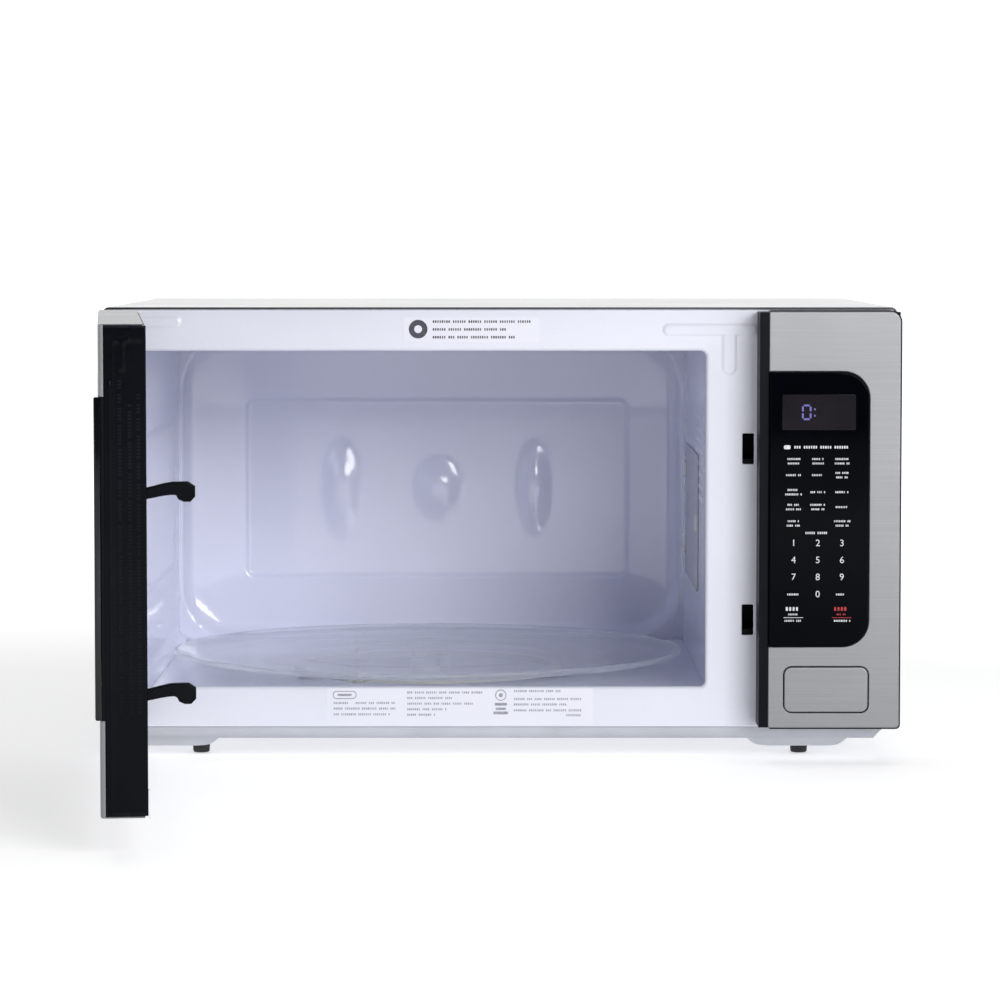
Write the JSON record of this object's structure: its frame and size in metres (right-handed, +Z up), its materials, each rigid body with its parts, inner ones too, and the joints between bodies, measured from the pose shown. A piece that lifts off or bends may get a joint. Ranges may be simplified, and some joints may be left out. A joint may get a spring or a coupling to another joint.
{
  "type": "countertop microwave oven",
  "caption": "Countertop microwave oven with a side-hinged door, latch hooks, a glass turntable on a roller ring, and a control panel with a push button that releases the door.",
  "frame": {"origin": "on the surface the oven stands on, under the middle of the body's front face, which is also the bottom centre of the box round the oven with its door open", "axes": "+X to the right as seen from the front, +Y to the rear, +Z up"},
  "size_m": [0.6157, 0.9647, 0.3505],
  "materials": {
    "white_enamel": "smooth semi-gloss white enamel with a cool cast",
    "stainless": "fine brushed stainless steel, brushed along X",
    "galvanised_steel": "plain zinc-coated sheet, satin",
    "black_plastic": "fine-textured moulded black plastic",
    "black_glass": "polished black glass, opaque",
    "clear_glass": "clear tempered glass",
    "rubber": "matte rubber",
    "white_plastic": "satin moulded plastic",
    "copper_wire": "lacquered copper wire",
    "cast_core": "varnished laminations",
    "mica": "pressed mica sheet",
    "circuit_board": "solder-masked board with parts"
  },
  "bodies": {
    "cabinet": {"front_frame": "white_enamel", "cavity_roof": "white_enamel", "cavity_floor": "white_enamel", "cavity_left_wall": "white_enamel", "cavity_right_wall": "white_enamel", "cavity_back_wall": "white_enamel", "waveguide_cover": "mica", "outer_wrap": "stainless", "rear_panel": "galvanised_steel", "cord_gland": "black_plastic", "base_pan": "galvanised_steel", "foot_front_left": "rubber", "foot_front_right": "rubber", "foot_rear_left": "rubber", "foot_rear_right": "rubber", "panel_frame": "black_plastic", "panel_skin": "stainless", "keypad_glass": "black_glass", "display_module": "black_plastic", "control_board": "circuit_board", "button_bridge": "black_plastic", "button_spring": "galvanised_steel", "interlock_bracket": "black_plastic", "primary_switch": "black_plastic", "secondary_switch": "black_plastic", "monitor_switch": "black_plastic", "waveguide": "galvanised_steel", "magnetron": "galvanised_steel", "transformer_core": "cast_core", "transformer_windings": "copper_wire", "hv_capacitor": "galvanised_steel", "hv_diode": "black_plastic", "fan_shroud": "black_plastic", "fan_motor": "cast_core", "turntable_motor": "galvanised_steel", "oven_lamp": "white_plastic", "thermal_cutout": "black_plastic", "filter_board": "circuit_board", "hinge_plate_top": "galvanised_steel", "hinge_plate_bottom": "galvanised_steel"},
    "door": {"door_skin": "stainless", "door_glass": "black_glass", "door_frame": "black_plastic", "door_pivot_top": "galvanised_steel", "door_pivot_bottom": "galvanised_steel", "choke_cover": "black_plastic", "choke_panel": "white_enamel", "inner_window": "clear_glass", "latch_spring": "galvanised_steel"},
    "latch_bar": {"latch_bar": "black_plastic"},
    "release_button": {"release_button": "stainless"},
    "release_lever": {"release_lever": "black_plastic"},
    "turntable": {"glass_turntable": "clear_glass", "turntable_coupler": "white_plastic"},
    "roller_ring": {"roller_ring": "white_plastic"},
    "roller_wheel_1": {"roller_wheel_1": "white_plastic"},
    "roller_wheel_2": {"roller_wheel_2": "white_plastic"},
    "roller_wheel_3": {"roller_wheel_3": "white_plastic"},
    "fan_rotor": {"fan_rotor": "white_plastic"}
  },
  "joints": [
    {"name": "door_hinge", "type": "hinge", "parent": "cabinet", "child": "door", "pos_m": [-0.295, 0.012, 0.188], "axis": [0, 0, 1], "range_deg": [-11, 84.4]},
    {"name": "latch_lift", "type": "slide", "parent": "door", "child": "latch_bar", "axis": [0, 0, 1], "range_m": [-0.003, 0.0035], "stiffness_N_per_m": 900, "deforming": ["latch_spring"]},
    {"name": "release_push", "type": "slide", "parent": "cabinet", "child": "release_button", "axis": [0, 1, 0], "range_m": [0, 0.005], "stiffness_N_per_m": 700, "deforming": ["button_spring"]},
    {"name": "lever_pivot", "type": "hinge", "parent": "cabinet", "child": "release_lever", "pos_m": [0.248, 0.04, 0.088], "axis": [1, 0, 0], "range_deg": [-0.5, 11]},
    {"name": "turntable_turn", "type": "hinge", "parent": "cabinet", "child": "turntable", "pos_m": [-0.06, 0.249, 0.06], "axis": [0, 0, 1], "continuous": true},
    {"name": "roller_ring_turn", "type": "hinge", "parent": "cabinet", "child": "roller_ring", "pos_m": [-0.06, 0.249, 0.05], "axis": [0, 0, 1], "continuous": true},
    {"name": "roller_wheel_1_roll", "type": "hinge", "parent": "roller_ring", "child": "roller_wheel_1", "pos_m": [0.0536, 0.249, 0.05], "axis": [1, 0, 0], "continuous": true},
    {"name": "roller_wheel_2_roll", "type": "hinge", "parent": "roller_ring", "child": "roller_wheel_2", "pos_m": [-0.1168, 0.34738, 0.05], "axis": [-0.5, 0.866, 0], "continuous": true},
    {"name": "roller_wheel_3_roll", "type": "hinge", "parent": "roller_ring", "child": "roller_wheel_3", "pos_m": [-0.1168, 0.15062, 0.05], "axis": [-0.5, -0.866, 0], "continuous": true},
    {"name": "fan_spin", "type": "hinge", "parent": "cabinet", "child": "fan_rotor", "pos_m": [0.236, 0.452, 0.262], "axis": [0, 1, 0], "continuous": true}
  ],
  "couplings": [
    {"joint": "lever_pivot", "follows": "release_push", "rad_per_m": 36},
    {"joint": "roller_ring_turn", "follows": "turntable_turn", "ratio": 0.5},
    {"joint": "roller_wheel_1_roll", "follows": "turntable_turn", "ratio": -8.1143},
    {"joint": "roller_wheel_2_roll", "follows": "turntable_turn", "ratio": -8.1143},
    {"joint": "roller_wheel_3_roll", "follows": "turntable_turn", "ratio": -8.1143}
  ]
}
